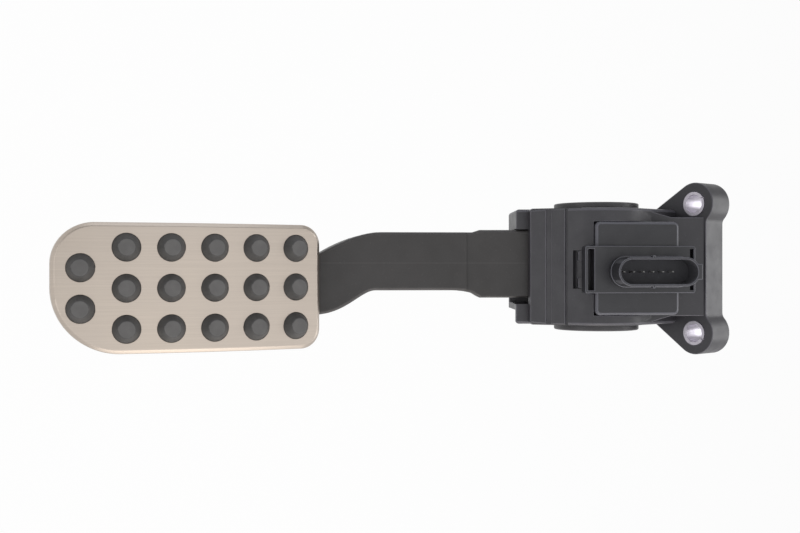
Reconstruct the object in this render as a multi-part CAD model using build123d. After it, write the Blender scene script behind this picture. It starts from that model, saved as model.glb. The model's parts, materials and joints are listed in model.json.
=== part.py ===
from build123d import *
import os
from math import atan, ceil, cos, degrees, pi, radians, sin, sqrt, tan

# Hanging accelerator pedal with an electronic angle sensor.
# World frame: X to the driver's right, Y forward to the bulkhead, Z up. The origin lies on the
# mounting face, midway between the two bolt holes. Lengths are in millimetres, angles in degrees.
# Pedal frame, at the pivot: x outward along the arm, y across the pedal, z towards the driver.

# Fits
FIT_GAP = 0.05
RUNNING_GAP = 0.05
CONTACT_GAP = 0.3

# Base and its bolt holes
BOLT_SPACING = 59.3
BOLT_HOLE_RADIUS = 4.2
MOUNT_BUSH_WALL = 1.3
MOUNT_BUSH_SLIT = 0.9
MOUNT_BUSH_SLIT_TURN = 60.0
MOUNT_BUSH_PROUD = 0.4
LUG_RADIUS = 9.8
LUG_NECK_RADIUS = 4.0
BASE_DEPTH = 14.0
BASE_TOP = 6.2
BASE_BOTTOM = -70.0
GUSSET_BOTTOM = -22.0
BASE_SKIN = 3.0
CORE_RIB = 2.2
CORE_COLUMNS = 3
CORE_ROWS = 3

# Pivot and travel
PIVOT_X = -0.85
PIVOT_Y = -40.0
PIVOT_Z = -36.0
ARM_LEAN = 48.0
TRAVEL = 16.0
SHAFT_RADIUS = 5.0
BEARING_WALL = 1.95
BOSS_WALL = 2.0

# Housing drum, collar and cheeks
HOUSING_WIDTH = 52.8
DRUM_RADIUS = 26.0
DRUM_WALL = 3.5
SLOT_WIDTH = 34.4
COLLAR_SLOPE = 24.0
COLLAR_REACH = 32.6
COLLAR_UNDERSIDE = 8.0
CHEEK_REACH = 38.2
CHEEK_FLANGE = 4.0
CHEEK_NOTCH_WIDTH = 6.2
CHEEK_FLOOR_WALL = 4.0
HOUSING_EDGE = 0.8
COLLAR_GROOVE_AT = 16.9
COLLAR_GROOVE_WIDTH = 1.3
COLLAR_GROOVE_DEPTH = 0.9
COLLAR_HOLLOW_AT = 24.6
COLLAR_HOLLOW_WIDTH = 2.2
COLLAR_HOLLOW_DEPTH = 0.5

# Pivot caps and return springs
CAP_RADIUS = 19.5
CAP_THICKNESS = 2.8
CHAMBER_RADIUS = 17.0
SPIGOT_DEPTH = 1.5
SPRING_RADIUS = 11.5
SPRING_WIRE_RADIUS = 1.1
SPRING_PITCH = 2.4
TANG_DEPTH = 3.5
CAP_TANG_DEPTH = 1.0
COIL_STEPS = 10
COIL_SIDES = 4

# Sensor cover with its connector
COVER_TILT = 8.0
COVER_MIDDLE = -12.9
COVER_OFFSET = 0.8
COVER_SEAT = 16.0
COVER_LENGTH = 38.7
COVER_WIDTH = 41.7
COVER_HEIGHT = 9.0
COVER_WALL = 1.8
COVER_CORNER = 2.4
COVER_EDGE = 0.7
PEDESTAL_SHELF = 2.0
PEDESTAL_WIDTH = 45.0
PEDESTAL_TAPER_START = -5.0
PEDESTAL_TOP = 5.0
FRAME_LENGTH = 50.8
FRAME_WIDTH = 20.9
FRAME_AT = -0.45
FRAME_OFFSET = 0.5
FRAME_PROUD = 2.7
FRAME_DROP = 3.0
FRAME_ROUND = 1.0
FRAME_END_BAR = 1.3
FRAME_END_SLOT = 2.8
FRAME_BACK_BAR = 0.9
FRAME_BACK_SLOT = 1.7
LATCH_RECESS_AT = 8.0
LATCH_RECESS_LENGTH = 6.2
LATCH_RECESS_WIDTH = 17.2
LATCH_FLOOR_RADIUS = 23.9
LATCH_BUMP_AT = 10.7
LATCH_BUMP_SPACING = 12.0
LATCH_BUMP_LENGTH = 2.7
LATCH_BUMP_WIDTH = 4.4
LATCH_BUMP_LEVEL = 24.1
SHROUD_LENGTH = 35.0
SHROUD_WIDTH = 10.7
SHROUD_WALL = 1.0
SHROUD_HEIGHT = 11.0
SHROUD_AT = -5.05
SHROUD_OFFSET = 1.45
SHROUD_FOOT_STEP = 0.6
SHROUD_FOOT_HEIGHT = 2.0
NUB_LENGTH = 1.0
NUB_WIDTH = 6.8
NUB_HEIGHT = 5.0
CODING_RIB_AT = 2.5
CODING_RIB_WIDTH = 1.2
CODING_RIB_PROUD = 0.8
CODING_RIB_HEIGHT = 3.0
PIN_COUNT = 6
PIN_AT = -2.2
PIN_PITCH = 4.45
PIN_WIDTH = 0.8
PIN_THICKNESS = 0.64
PIN_HEIGHT = 5.0
PIN_TIP_CHAMFER = 0.15
BOARD_THICKNESS = 1.6
BOARD_GAP = 0.6
BOARD_LEVEL = 3.2
POST_RADIUS = 1.6

# Friction shoe and its spring
SHOE_RADIUS = 6.0
SHOE_LENGTH = 13.5
SHOE_CUP_DEPTH = 5.0
SHOE_CUP_RADIUS = 4.8
FRICTION_FLOOR = 3.0
FRICTION_SPRING_RADIUS = 3.7
FRICTION_WIRE_RADIUS = 0.7
FRICTION_SPRING_TURNS = 3

# Stop pads
STOP_PAD_LENGTH = 8.0
STOP_PAD_WIDTH = 16.0
STOP_PAD_THICKNESS = 2.6
STOP_PAD_CHAMFER = 0.6
STOP_SEAT_DEPTH = 1.9
IDLE_STOP_AT = 27.0
FULL_STOP_AT = 26.0

# Pedal arm
HUB_RADIUS = 15.0
HUB_WIDTH = 31.0
HUB_SECTION_WIDTH = 31.3
HUB_SECTION_OFFSET = -1.3
HUB_SECTION_END = 55.0
HUB_SECTION_STEP = 3.5
FLARE_WIDTH = 1.35
FLARE_END = 68.0
LEVER_START = 61.0
LEVER_LAP = 5.0
ARM_FRONT = 7.0
ARM_BACK = -12.0
ARM_MID_WIDTH = 26.75
ARM_MID_OFFSET = -2.45
ARM_STEP = 1.0
BEND_START = 103.0
BEND_END = 128.0
BEND_OFFSET = 7.75
BEND_WIDTH = 28.2
BEND_LEFT_START = 101.0
BEND_LEFT_SLOPE = 0.55
BEND_RIGHT_SLOPE = 0.12
BEND_DRAFT = 0.1
BEND_FRONT = 12.0
BEND_BACK = -3.0
STEM_RUN = 8.0
ARM_WALL = 2.6
ARM_RIB = 2.0
ARM_RIB_PITCH = 17.0
ARM_EDGE = 0.8
MAGNET_RADIUS = 4.0
MAGNET_THICKNESS = 3.0
MAGNET_DEPTH = 3.8

# Pad: metal plate, rubber mat and the foot of the arm that carries them
PAD_LENGTH = 116.4
PAD_WIDTH = 55.4
PAD_OFFSET = 9.05
PAD_CURVE_RADIUS = 305.0
PAD_MIDDLE_OUT = 179.7
PAD_MIDDLE_UP = 45.06
PAD_SLOPE = 21.5
PAD_LOWER_LEFT_CORNER = 17.5
PAD_LOWER_RIGHT_CORNER = 28.0
PAD_UPPER_CORNER = 9.0
SHEET_THICKNESS = 1.0
PAD_RIM_DEPTH = 6.0
PAD_EDGE = 1.5
MAT_THICKNESS = 2.0
FOOT_PROUD = 1.2
FOOT_INSET = 0.5
STUD_HOLE_RADIUS = 6.0
STUD_TOP_RADIUS = 3.7
STUD_HEIGHT = 4.0
STUD_SIDES = 16
STUD_COLUMNS = 6
STUD_COLUMN_PITCH = 18.6
STUD_ROW_PITCH = 17.2
STUD_END_MARGIN = 11.6
KEEL_WIDTH = 24.0
KEEL_END = 216.0
KEEL_END_WIDTH = 12.0
KEEL_DEPTH = 15.0

HALF_WIDTH = HOUSING_WIDTH / 2
HALF_SLOT = SLOT_WIDTH / 2
LEAN_SIN = sin(radians(ARM_LEAN))
LEAN_COS = cos(radians(ARM_LEAN))
PEDAL = Plane(
    origin=(PIVOT_X, PIVOT_Y, PIVOT_Z),
    x_dir=(0, -LEAN_SIN, -LEAN_COS),
    z_dir=(0, -LEAN_COS, LEAN_SIN),
)
TILT_SIN = sin(radians(COVER_TILT))
TILT_COS = cos(radians(COVER_TILT))
COVER = Plane(
    origin=(COVER_MIDDLE, COVER_OFFSET, COVER_SEAT),
    x_dir=(TILT_COS, 0, TILT_SIN),
    z_dir=(-TILT_SIN, 0, TILT_COS),
)
SLOPE_SIN = sin(radians(PAD_SLOPE))
SLOPE_COS = cos(radians(PAD_SLOPE))
PAD = Plane(
    origin=(PAD_MIDDLE_OUT, PAD_OFFSET, PAD_MIDDLE_UP),
    x_dir=(SLOPE_COS, 0, SLOPE_SIN),
    z_dir=(-SLOPE_SIN, 0, SLOPE_COS),
)
ACROSS = Rot(90, 0, 0)
BEARING_SEAT_RADIUS = SHAFT_RADIUS + RUNNING_GAP + BEARING_WALL
BOSS_RADIUS = BEARING_SEAT_RADIUS + BOSS_WALL
BOSS_END = HALF_SLOT + CONTACT_GAP
MOUNT_BUSH_RADIUS = BOLT_HOLE_RADIUS + MOUNT_BUSH_WALL
FRAME_TOP = COVER_HEIGHT + FRAME_PROUD
BOARD_TOP = BOARD_LEVEL + BOARD_THICKNESS
STEM_END = BEND_END + STEM_RUN


def to_pedal(y, z):
    """Pedal-frame point of a world point in the middle plane."""
    forward = y - PIVOT_Y
    up = z - PIVOT_Z
    return (-forward * LEAN_SIN - up * LEAN_COS, -forward * LEAN_COS + up * LEAN_SIN)


def pressed(out, up):
    """A pedal-frame point of the arm after the full travel."""
    turn = radians(TRAVEL)
    return (out * cos(turn) + up * sin(turn), -out * sin(turn) + up * cos(turn))


def cover_point(along, height):
    """Pedal-frame point of a point in the cover's frame."""
    return (
        COVER_MIDDLE + along * TILT_COS - height * TILT_SIN,
        COVER_SEAT + along * TILT_SIN + height * TILT_COS,
    )


def polygon(points):
    return make_face(Polyline(*points, close=True))


def side_prism(profile, width):
    """Prism across the pedal from a profile in its side view."""
    return extrude(Plane.XZ * profile, width / 2, both=True)


def across_cylinder(radius, width):
    return ACROSS * Cylinder(radius, width)


def stadium(length, width, height):
    """Prism with round ends that stands on its own plane."""
    return extrude(SlotOverall(length, width), height)


def other_side(part):
    """The same piece on the other side of the pedal's middle plane, in the pedal frame."""
    return mirror(part, about=Plane.XZ)


def coil(radius, wire, pitch, turns):
    """Square wire wound about Z in straight steps, from the height of its first turn's middle."""
    steps = ceil(turns * COIL_STEPS)
    sections = []
    for step in range(steps + 1):
        turned = turns * step / steps
        place = Pos(0, 0, pitch * turned) * Rot(0, 0, 360 * turned) * Pos(radius, 0, 0)
        sections.append(place * ACROSS * RegularPolygon(wire, COIL_SIDES))
    return loft(sections, ruled=True)


# Housing
def housing_profile():
    collar_turn = radians(COLLAR_SLOPE)
    tangent = (DRUM_RADIUS * sin(collar_turn), DRUM_RADIUS * cos(collar_turn))
    collar_edge = tangent[1] - (COLLAR_REACH - tangent[0]) * tan(collar_turn)
    floor_depth = ARM_BACK - CONTACT_GAP - STOP_PAD_THICKNESS + STOP_SEAT_DEPTH
    floor_end = pressed(CHEEK_REACH, floor_depth - CHEEK_FLOOR_WALL)
    chute = polygon([
        (0, 0),
        tangent,
        (COLLAR_REACH, collar_edge),
        (COLLAR_REACH, COLLAR_UNDERSIDE),
        (CHEEK_REACH, COLLAR_UNDERSIDE),
        (CHEEK_REACH, floor_end[1]),
        to_pedal(-BASE_DEPTH, BASE_BOTTOM),
        to_pedal(-BASE_DEPTH, PIVOT_Z),
    ])
    web = polygon([
        (0, 0),
        to_pedal(PIVOT_Y, PIVOT_Z + DRUM_RADIUS),
        to_pedal(-BASE_DEPTH, PIVOT_Z + DRUM_RADIUS),
        to_pedal(-BASE_DEPTH, PIVOT_Z),
    ])
    return Circle(DRUM_RADIUS) + chute + web


def base_plate():
    """Flange with two lugs, in the world frame, cored from the mounting face."""
    middle = Pos(PIVOT_X, (BASE_TOP + BASE_BOTTOM) / 2)
    outline = middle * Rectangle(HOUSING_WIDTH, BASE_TOP - BASE_BOTTOM)
    for side in (-1, 1):
        lug = Pos(side * BOLT_SPACING / 2, 0) * Circle(LUG_RADIUS)
        flank = PIVOT_X + side * HALF_WIDTH
        root = polygon([(flank, GUSSET_BOTTOM), (flank / 2, GUSSET_BOTTOM), (flank, 0)])
        outline += make_hull(lug.edges() + root.edges())
    necks = outline.vertices().filter_by(lambda corner: abs(corner.Y - BASE_TOP) < FIT_GAP)
    outline = fillet(necks, LUG_NECK_RADIUS)
    plate = extrude(Plane.XZ * outline, BASE_DEPTH)
    cell_width = (HOUSING_WIDTH - (CORE_COLUMNS + 1) * CORE_RIB) / CORE_COLUMNS
    core_top = -LUG_RADIUS
    cell_height = (core_top - BASE_BOTTOM - CORE_RIB) / CORE_ROWS - CORE_RIB
    core_depth = BASE_DEPTH - BASE_SKIN
    for column in range(CORE_COLUMNS):
        x = PIVOT_X + (column - (CORE_COLUMNS - 1) / 2) * (cell_width + CORE_RIB)
        for row in range(CORE_ROWS):
            z = core_top - CORE_RIB / 2 - cell_height / 2 - row * (cell_height + CORE_RIB)
            cell = Pos(x, -core_depth / 2, z) * Box(cell_width, core_depth, cell_height)
            plate -= cell
    plug = Pos(PIVOT_X, -BASE_DEPTH / 2, PIVOT_Z) * ACROSS
    plate += plug * Cylinder(SHOE_RADIUS + CORE_RIB, BASE_DEPTH)
    for side in (-1, 1):
        bore = Pos(side * BOLT_SPACING / 2, -BASE_DEPTH / 2, 0) * ACROSS
        plate -= bore * Cylinder(MOUNT_BUSH_RADIUS + FIT_GAP, 2 * BASE_DEPTH)
    return plate


def make_housing():
    body = side_prism(housing_profile(), HOUSING_WIDTH)
    body = chamfer(body.faces().filter_by(Axis.Y).edges(), HOUSING_EDGE)
    pedestal = polygon([
        (0, 0),
        cover_point(COVER_LENGTH / 2, 0),
        cover_point(-COVER_LENGTH / 2 - PEDESTAL_SHELF, 0),
        to_pedal(-BASE_DEPTH, PEDESTAL_TOP),
        to_pedal(-BASE_DEPTH, PIVOT_Z),
    ])
    body += side_prism(pedestal, HOUSING_WIDTH - 2 * HOUSING_EDGE) & COVER * pedestal_plan()
    body -= across_cylinder(DRUM_RADIUS - DRUM_WALL, SLOT_WIDTH)
    body -= across_cylinder(CHAMBER_RADIUS, 2 * HOUSING_WIDTH)
    floor_depth = ARM_BACK - CONTACT_GAP - STOP_PAD_THICKNESS + STOP_SEAT_DEPTH
    mouth = polygon([
        (0, COLLAR_UNDERSIDE),
        (2 * CHEEK_REACH, COLLAR_UNDERSIDE),
        pressed(2 * CHEEK_REACH, floor_depth),
        pressed(0, floor_depth),
    ])
    body -= side_prism(mouth, SLOT_WIDTH)
    body -= idle_stop_place() * stop_seat()
    body -= full_stop_place() * stop_seat()
    pocket_height = DRUM_RADIUS
    pocket = Box(
        COVER_LENGTH + 2 * FIT_GAP,
        COVER_WIDTH + 2 * FIT_GAP,
        pocket_height,
        align=(Align.CENTER, Align.CENTER, Align.MIN),
    )
    body -= COVER * pocket
    body -= COVER * frame_room()
    body -= Pos(0, COVER_OFFSET + FRAME_OFFSET, 0) * latch_recess()
    body -= cheek_notch()
    body -= collar_groove(COLLAR_GROOVE_AT, COLLAR_GROOVE_WIDTH, COLLAR_GROOVE_DEPTH)
    body -= collar_groove(COLLAR_HOLLOW_AT, COLLAR_HOLLOW_WIDTH, COLLAR_HOLLOW_DEPTH)
    body = PEDAL * body
    body += base_plate()
    well_depth = -PIVOT_Y - FRICTION_FLOOR
    well = Pos(PIVOT_X, PIVOT_Y + well_depth / 2, PIVOT_Z) * ACROSS
    body -= well * Cylinder(SHOE_RADIUS + FIT_GAP, well_depth)
    return body


def pedestal_plan():
    """The pedestal narrows towards the flange, so that a nut finds room beside it."""
    back = -COVER_LENGTH / 2
    half = PEDESTAL_WIDTH / 2
    outline = polygon([
        (-2 * COVER_LENGTH, -half),
        (back, -half),
        (PEDESTAL_TAPER_START, -HALF_WIDTH),
        (COVER_LENGTH, -HALF_WIDTH),
        (COVER_LENGTH, HALF_WIDTH),
        (PEDESTAL_TAPER_START, HALF_WIDTH),
        (back, half),
        (-2 * COVER_LENGTH, half),
    ])
    return Pos(0, -COVER_OFFSET, 0) * extrude(outline, 2 * DRUM_RADIUS, both=True)


def cheek_notch():
    """Cut behind the outer half of the right cheek's end, which leaves a thin flange there."""
    corner = Pos(COLLAR_REACH, HALF_WIDTH, COLLAR_UNDERSIDE - CHEEK_FLANGE)
    size = (CHEEK_REACH, 2 * CHEEK_NOTCH_WIDTH, HOUSING_WIDTH)
    return corner * Box(*size, align=(Align.MIN, Align.CENTER, Align.MAX))


def frame_room():
    """Room for the end of the connector's frame, in the cover's frame."""
    level = COVER_HEIGHT - FRAME_DROP - CONTACT_GAP
    size = (FRAME_LENGTH / 2 + CONTACT_GAP, FRAME_WIDTH + 2 * CONTACT_GAP, DRUM_RADIUS)
    corner = (Align.MIN, Align.CENTER, Align.MIN)
    return Pos(FRAME_AT, FRAME_OFFSET, level) * Box(*size, align=corner)


def latch_recess():
    """Curved pocket in the drum for the plug's latch, with two bumps left in it."""
    corner = (Align.MIN, Align.CENTER, Align.MIN)
    window = Box(LATCH_RECESS_LENGTH, LATCH_RECESS_WIDTH, 2 * DRUM_RADIUS, align=corner)
    recess = Pos(LATCH_RECESS_AT, 0, 0) * window - across_cylinder(LATCH_FLOOR_RADIUS, HOUSING_WIDTH)
    for side in (-1, 1):
        bump = Box(LATCH_BUMP_LENGTH, LATCH_BUMP_WIDTH, 2 * LATCH_BUMP_LEVEL)
        recess -= Pos(LATCH_BUMP_AT, side * LATCH_BUMP_SPACING / 2, 0) * bump
    return recess


def collar_groove(out, width, depth):
    """Straight groove across the sloping face of the collar."""
    bar = side_prism(Rectangle(width, 2 * depth), HOUSING_WIDTH)
    turn = radians(COLLAR_SLOPE)
    along = (out - DRUM_RADIUS * sin(turn)) / cos(turn)
    return Rot(0, COLLAR_SLOPE, 0) * Pos(along, 0, DRUM_RADIUS) * bar


# Stops
def stop_seat():
    height = 2 * STOP_SEAT_DEPTH
    return Box(STOP_PAD_LENGTH + 2 * FIT_GAP, STOP_PAD_WIDTH + 2 * FIT_GAP, height)


def stop_pad():
    block = Box(
        STOP_PAD_LENGTH,
        STOP_PAD_WIDTH,
        STOP_PAD_THICKNESS,
        align=(Align.CENTER, Align.CENTER, Align.MAX),
    )
    rim = block.faces().sort_by(Axis.Z)[0].edges()
    return Pos(0, 0, STOP_SEAT_DEPTH) * chamfer(rim, STOP_PAD_CHAMFER)


def idle_stop_place():
    """Seat in the underside of the collar."""
    return Pos(IDLE_STOP_AT, 0, COLLAR_UNDERSIDE)


def full_stop_place():
    """Seat in the floor of the mouth, along the arm's back at full travel."""
    floor_depth = ARM_BACK - CONTACT_GAP - STOP_PAD_THICKNESS + STOP_SEAT_DEPTH
    return Rot(0, TRAVEL, 0) * Pos(FULL_STOP_AT, 0, floor_depth) * Rot(180, 0, 0)


# Pivot caps, bearings and return springs, all on the driver's right
def make_pivot_cap():
    disc = Pos(0, HALF_WIDTH + CAP_THICKNESS / 2, 0) * across_cylinder(CAP_RADIUS, CAP_THICKNESS)
    spigot_end = HALF_WIDTH - SPIGOT_DEPTH
    spigot_middle = (HALF_WIDTH + spigot_end) / 2
    disc += Pos(0, spigot_middle, 0) * across_cylinder(CHAMBER_RADIUS - FIT_GAP, SPIGOT_DEPTH)
    boss_length = HALF_WIDTH - BOSS_END
    disc += Pos(0, BOSS_END + boss_length / 2, 0) * across_cylinder(BOSS_RADIUS, boss_length)
    bore = across_cylinder(BEARING_SEAT_RADIUS + FIT_GAP, boss_length)
    disc -= Pos(0, BOSS_END + boss_length / 2, 0) * bore
    hole_depth = CAP_TANG_DEPTH + CONTACT_GAP
    hole = across_cylinder(SPRING_WIRE_RADIUS + FIT_GAP, hole_depth)
    tang_turn = Rot(0, 360 * spring_turns(), 0)
    disc -= Pos(0, spigot_end + hole_depth / 2, 0) * tang_turn * Pos(-SPRING_RADIUS, 0, 0) * hole
    return disc


def make_bearing_bush():
    length = HALF_WIDTH - BOSS_END
    ring = Circle(BEARING_SEAT_RADIUS) - Circle(SHAFT_RADIUS + RUNNING_GAP)
    return Pos(0, HALF_WIDTH, 0) * extrude(Plane.XZ * ring, length)


def spring_turns():
    """Turns that fit between the hub's bearing boss and the cap."""
    space = HALF_WIDTH - SPIGOT_DEPTH - BOSS_END
    return (space - 2 * (SPRING_WIRE_RADIUS + CONTACT_GAP)) / SPRING_PITCH


def make_return_spring():
    turns = spring_turns()
    height = SPRING_PITCH * turns
    start = BOSS_END + CONTACT_GAP + SPRING_WIRE_RADIUS
    inner_tang = start - HUB_WIDTH / 2 + TANG_DEPTH
    outer_tang = SPRING_WIRE_RADIUS + CONTACT_GAP + CAP_TANG_DEPTH
    wire = coil(SPRING_RADIUS, SPRING_WIRE_RADIUS, SPRING_PITCH, turns)
    tang = Pos(SPRING_RADIUS, 0) * RegularPolygon(SPRING_WIRE_RADIUS, COIL_SIDES)
    wire += Pos(0, 0, -inner_tang) * extrude(tang, inner_tang + SPRING_WIRE_RADIUS)
    end = Pos(0, 0, height - SPRING_WIRE_RADIUS) * Rot(0, 0, 360 * turns)
    wire += end * extrude(tang, SPRING_WIRE_RADIUS + outer_tang)
    place = Plane(origin=(0, start, 0), x_dir=(-1, 0, 0), z_dir=(0, 1, 0))
    return place * wire


def make_pivot_shaft():
    return across_cylinder(SHAFT_RADIUS, 2 * (HALF_WIDTH - CONTACT_GAP))


# Sensor cover, terminals and board, in the cover's frame
def shroud_place():
    return Pos(SHROUD_AT, SHROUD_OFFSET, FRAME_TOP)


def pin_offsets():
    return [(index - (PIN_COUNT - 1) / 2) * PIN_PITCH for index in range(PIN_COUNT)]


def make_sensor_cover():
    bottom = (Align.CENTER, Align.CENTER, Align.MIN)
    hood = Box(COVER_LENGTH, COVER_WIDTH, COVER_HEIGHT, align=bottom)
    hood = fillet(hood.edges().filter_by(Axis.Z), COVER_CORNER)
    hood = chamfer(hood.faces().sort_by(Axis.Z)[-1].edges(), COVER_EDGE)
    frame_height = FRAME_PROUD + FRAME_DROP
    bar = Box(FRAME_LENGTH, FRAME_WIDTH, frame_height, align=bottom)
    bar = fillet(bar.edges().filter_by(Axis.Z), FRAME_ROUND)
    slot_width = FRAME_WIDTH - 2 * FRAME_END_BAR
    for end, wall, gap in ((1, FRAME_END_BAR, FRAME_END_SLOT), (-1, FRAME_BACK_BAR, FRAME_BACK_SLOT)):
        slot = Pos(end * (FRAME_LENGTH / 2 - wall - gap / 2), 0, 0)
        bar -= slot * Box(gap, slot_width, 2 * frame_height, align=bottom)
    cover = hood + Pos(FRAME_AT, FRAME_OFFSET, COVER_HEIGHT - FRAME_DROP) * bar
    inside = Box(
        COVER_LENGTH - 2 * COVER_WALL,
        COVER_WIDTH - 2 * COVER_WALL,
        COVER_HEIGHT - COVER_WALL,
        align=bottom,
    )
    cover -= inside
    outer_length = SHROUD_LENGTH + 2 * SHROUD_WALL
    outer_width = SHROUD_WIDTH + 2 * SHROUD_WALL
    shroud = stadium(outer_length, outer_width, SHROUD_HEIGHT)
    foot_length = outer_length + 2 * SHROUD_FOOT_STEP
    foot_width = outer_width + 2 * SHROUD_FOOT_STEP
    shroud += stadium(foot_length, foot_width, SHROUD_FOOT_HEIGHT)
    nub_at = -outer_length / 2 - NUB_LENGTH / 2
    nub = Pos(nub_at + SHROUD_WALL / 2, 0, SHROUD_HEIGHT - NUB_HEIGHT)
    shroud += nub * Box(NUB_LENGTH + SHROUD_WALL, NUB_WIDTH, NUB_HEIGHT, align=bottom)
    for side in (-1, 1):
        rib = Pos(CODING_RIB_AT, side * outer_width / 2, SHROUD_HEIGHT - CODING_RIB_HEIGHT)
        shroud += rib * Box(CODING_RIB_WIDTH, 2 * CODING_RIB_PROUD, CODING_RIB_HEIGHT, align=bottom)
    shroud -= stadium(SHROUD_LENGTH, SHROUD_WIDTH, SHROUD_HEIGHT)
    cover += shroud_place() * shroud
    for offset in pin_offsets():
        hole = Box(PIN_WIDTH + 2 * FIT_GAP, PIN_THICKNESS + 2 * FIT_GAP, 2 * FRAME_TOP)
        cover -= Pos(PIN_AT + offset, SHROUD_OFFSET, FRAME_TOP) * hole
    for x in (-1, 1):
        for y in (-1, 1):
            cover += Pos(*post_point(x, y), BOARD_TOP) * post()
    return cover


def post_point(x, y):
    """Place of a board post, near a corner of the cover."""
    inset = COVER_WALL + 2 * POST_RADIUS
    return (x * (COVER_LENGTH / 2 - inset), y * (COVER_WIDTH / 2 - inset))


def post():
    return extrude(Circle(POST_RADIUS), COVER_HEIGHT - COVER_WALL - BOARD_TOP)


def make_terminal_pins():
    bottom = (Align.CENTER, Align.CENTER, Align.MIN)
    length = FRAME_TOP + PIN_HEIGHT - BOARD_TOP
    pins = []
    for offset in pin_offsets():
        blade = Box(PIN_WIDTH, PIN_THICKNESS, length, align=bottom)
        tip = blade.faces().sort_by(Axis.Z)[-1].edges().filter_by(Axis.X)
        blade = chamfer(tip, PIN_TIP_CHAMFER)
        pins.append(Pos(PIN_AT + offset, SHROUD_OFFSET, BOARD_TOP) * blade)
    return Compound(children=pins)


def make_sensor_board():
    length = COVER_LENGTH - 2 * COVER_WALL - 2 * BOARD_GAP
    width = COVER_WIDTH - 2 * COVER_WALL - 2 * BOARD_GAP
    board = Pos(0, 0, BOARD_LEVEL + BOARD_THICKNESS / 2) * Box(length, width, BOARD_THICKNESS)
    return board


# Friction shoe and spring, in the world frame
def hub_back():
    """Y of the hub's skin behind the pivot."""
    return PIVOT_Y + HUB_RADIUS


def make_friction_shoe():
    shoe_end = hub_back() + SHOE_LENGTH
    middle = Pos(PIVOT_X, shoe_end - SHOE_LENGTH, PIVOT_Z)
    shoe = middle * ACROSS * Cylinder(SHOE_RADIUS, 2 * SHOE_LENGTH)
    cup = Pos(PIVOT_X, shoe_end, PIVOT_Z) * ACROSS
    shoe -= cup * Cylinder(SHOE_CUP_RADIUS, 2 * SHOE_CUP_DEPTH)
    hub = PEDAL * across_cylinder(HUB_RADIUS + CONTACT_GAP, HOUSING_WIDTH)
    behind = Box(
        HOUSING_WIDTH,
        SHOE_LENGTH,
        HOUSING_WIDTH,
        align=(Align.CENTER, Align.MIN, Align.CENTER),
    )
    keep = Pos(PIVOT_X, PIVOT_Y + HUB_RADIUS - SHOE_RADIUS / 2, PIVOT_Z) * behind
    return (shoe - hub) & keep


def make_friction_spring():
    start = hub_back() + SHOE_LENGTH - SHOE_CUP_DEPTH
    space = -FRICTION_FLOOR - start
    length = space - 2 * FRICTION_WIRE_RADIUS - 2 * FIT_GAP
    pitch = length / FRICTION_SPRING_TURNS
    wire = coil(FRICTION_SPRING_RADIUS, FRICTION_WIRE_RADIUS, pitch, FRICTION_SPRING_TURNS)
    place = Plane(
        origin=(PIVOT_X, start + FRICTION_WIRE_RADIUS + FIT_GAP, PIVOT_Z),
        x_dir=(1, 0, 0),
        z_dir=(0, 1, 0),
    )
    return place * wire


def make_mount_bush():
    """Rolled steel sleeve with an open slit, on the driver's right."""
    length = BASE_DEPTH + MOUNT_BUSH_PROUD
    ring = Circle(MOUNT_BUSH_RADIUS) - Circle(BOLT_HOLE_RADIUS)
    slit = Pos(MOUNT_BUSH_RADIUS, 0) * Rectangle(4 * MOUNT_BUSH_WALL, MOUNT_BUSH_SLIT)
    ring -= Rot(0, 0, MOUNT_BUSH_SLIT_TURN) * slit
    return Pos(BOLT_SPACING / 2, 0, 0) * extrude(Plane.XZ * ring, length)


# Pedal arm, in the pedal frame
def arm_plan(inset, left_spread=0.0):
    """Outline of the arm seen from the driver: wide at the hub, then the lever with its S-bend.

    The spread moves the left edge beyond the bend outwards.
    """
    hub_left = HUB_SECTION_OFFSET - HUB_SECTION_WIDTH / 2 + inset
    hub_right = HUB_SECTION_OFFSET + HUB_SECTION_WIDTH / 2 - inset
    left = ARM_MID_OFFSET - ARM_MID_WIDTH / 2 + inset
    right = ARM_MID_OFFSET + ARM_MID_WIDTH / 2 - inset
    left_end = BEND_OFFSET - BEND_WIDTH / 2 + inset - left_spread
    right_end = BEND_OFFSET + BEND_WIDTH / 2 - inset
    step_end = HUB_SECTION_END + HUB_SECTION_STEP
    flare = right + FLARE_WIDTH
    end = STEM_END - inset
    bend = BEND_END - BEND_START
    left_knee = BEND_END - (left_end - left) / BEND_LEFT_SLOPE
    left_tip = left_end + (end - BEND_END) * BEND_LEFT_SLOPE
    right_tip = right_end + (end - BEND_END) * BEND_RIGHT_SLOPE
    right_knee = (BEND_START + bend / 4, right)
    right_turn = (BEND_END - bend / 2, right_end - BEND_RIGHT_SLOPE * bend / 2)
    return make_face([
        Line((0, hub_left), (0, hub_right)),
        Line((0, hub_right), (HUB_SECTION_END, hub_right)),
        Line((HUB_SECTION_END, hub_right), (step_end, flare)),
        Bezier((step_end, flare), ((step_end + FLARE_END) / 2, right), (FLARE_END, right)),
        Line((FLARE_END, right), (BEND_START, right)),
        Bezier((BEND_START, right), right_knee, right_turn, (BEND_END, right_end)),
        Line((BEND_END, right_end), (end, right_tip)),
        Line((end, right_tip), (end, left_tip)),
        Line((end, left_tip), (BEND_END, left_end)),
        Bezier((BEND_END, left_end), (left_knee, left), (BEND_LEFT_START, left)),
        Line((BEND_LEFT_START, left), (step_end, left)),
        Line((step_end, left), (HUB_SECTION_END, hub_left)),
        Line((HUB_SECTION_END, hub_left), (0, hub_left)),
    ])


def lever_front(out):
    """Level of the lever's flat front face."""
    rise = (BEND_FRONT - ARM_FRONT - ARM_STEP) / (BEND_END - LEVER_START)
    return ARM_FRONT + ARM_STEP + (out - LEVER_START) * rise


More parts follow.
